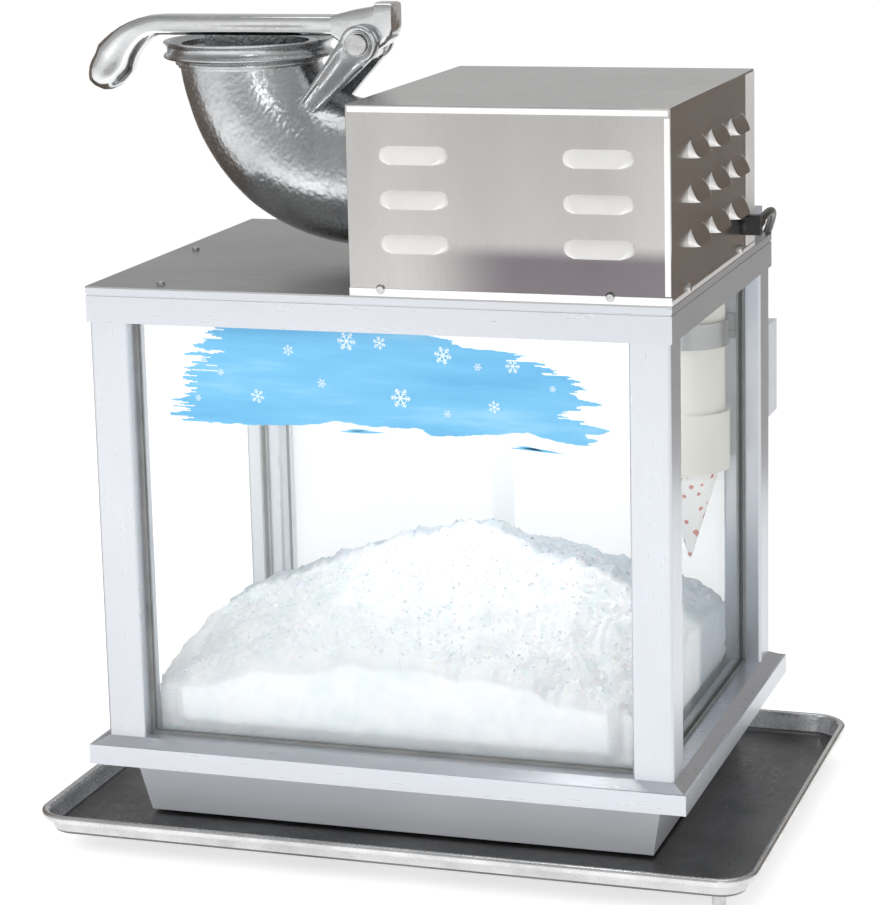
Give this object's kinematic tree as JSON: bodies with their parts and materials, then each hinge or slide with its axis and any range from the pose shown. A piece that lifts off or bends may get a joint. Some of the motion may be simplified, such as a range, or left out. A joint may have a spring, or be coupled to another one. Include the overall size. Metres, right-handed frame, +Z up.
{
  "type": "shaved ice machine",
  "caption": "Counter-top shaved ice machine: glazed ice cabinet in a drip pan, cast elbow hopper with lever pusher, louvred motor housing, rear doors.",
  "frame": {"origin": "on the counter under the middle of the machine's own bounding box, without the cord", "axes": "+Z up; -Y is the glazed, decorated front; +X is the motor side, -X the hopper and lever side"},
  "size_m": [0.668, 0.6135, 0.75],
  "materials": {
    "pan": "satin",
    "feet": "matte",
    "frame": "satin",
    "sheet": "brushed",
    "glass": "polished",
    "doors": "translucent",
    "pulls": "clear moulding",
    "gasket": "matte",
    "decal": "printed film",
    "ice": "wet, granular",
    "dispenser": "satin",
    "cones": "plain",
    "screws": "polished",
    "motor": "satin",
    "windings": "varnished copper",
    "shaft": "ground",
    "capacitor": "matte",
    "casting": "cast, lightly polished",
    "lever": "polished",
    "bushes": "oiled",
    "lamp_base": "matte",
    "bulb": "frosted",
    "black": "satin",
    "blades": "plated"
  },
  "bodies": {
    "cabinet": {"drip_pan": "pan", "pan_drain_tube": "pan", "pan_feet": "feet", "tub_feet": "feet", "base_tub": "frame", "bottom_frame": "frame", "post_front_left": "frame", "post_front_right": "frame", "post_rear_left": "frame", "post_rear_right": "frame", "top_frame": "frame", "lower_door_track": "frame", "upper_door_track": "frame", "drain_grate": "sheet", "top_plate": "sheet", "motor_housing": "sheet", "cone_bracket": "sheet", "motor_cradle": "sheet", "cord_bracket": "sheet", "switch_box": "sheet", "front_glass": "glass", "left_glass": "glass", "right_glass": "glass", "glass_gaskets": "gasket", "front_decal": "decal", "ice_heap": "ice", "cone_tube": "dispenser", "cone_collar": "dispenser", "paper_cones": "cones", "housing_screws": "screws", "plate_screws": "screws", "throat_bolts": "screws", "pivot_bolt": "screws", "motor_shell": "motor", "motor_left_bell": "motor", "motor_right_bell": "motor", "motor_stator": "windings", "capacitor": "capacitor", "elbow_throat": "casting", "shave_head": "casting", "pivot_bushes": "bushes", "lamp_socket": "lamp_base", "lamp_bulb": "bulb", "strain_relief": "black", "power_cord": "black", "cord_coil": "black", "plug_body": "black", "plug_blades": "blades"},
    "blade_rotor": {"motor_shaft": "shaft", "blade_disc": "shaft", "blade_knives": "shaft", "disc_nut": "screws"},
    "pusher": {"pusher_lever": "lever", "pusher_head": "casting"},
    "left_door": {"door_left": "doors", "pull_left": "pulls"},
    "right_door": {"door_right": "doors", "pull_right": "pulls"},
    "motor_switch": {"motor_rocker": "black"},
    "lamp_switch": {"lamp_rocker": "black"}
  },
  "joints": [
    {"name": "pusher_pivot", "type": "hinge", "parent": "cabinet", "child": "pusher", "pos_m": [-0.061, -0.02375, 0.714], "axis": [0, 1, 0], "range_deg": [0, 110]},
    {"name": "blade_spin", "type": "hinge", "parent": "cabinet", "child": "blade_rotor", "pos_m": [0, -0.02375, 0.597], "axis": [1, 0, 0], "continuous": true},
    {"name": "door_left_slide", "type": "slide", "parent": "cabinet", "child": "left_door", "axis": [1, 0, 0], "range_m": [0, 0.2]},
    {"name": "door_right_slide", "type": "slide", "parent": "cabinet", "child": "right_door", "axis": [-1, 0, 0], "range_m": [0, 0.2]},
    {"name": "motor_rocker_tilt", "type": "hinge", "parent": "cabinet", "child": "motor_switch", "pos_m": [0.236, 0.23025, 0.406], "axis": [1, 0, 0], "range_deg": [0, 16]},
    {"name": "lamp_rocker_tilt", "type": "hinge", "parent": "cabinet", "child": "lamp_switch", "pos_m": [0.236, 0.23025, 0.358], "axis": [1, 0, 0], "range_deg": [0, 16]}
  ]
}
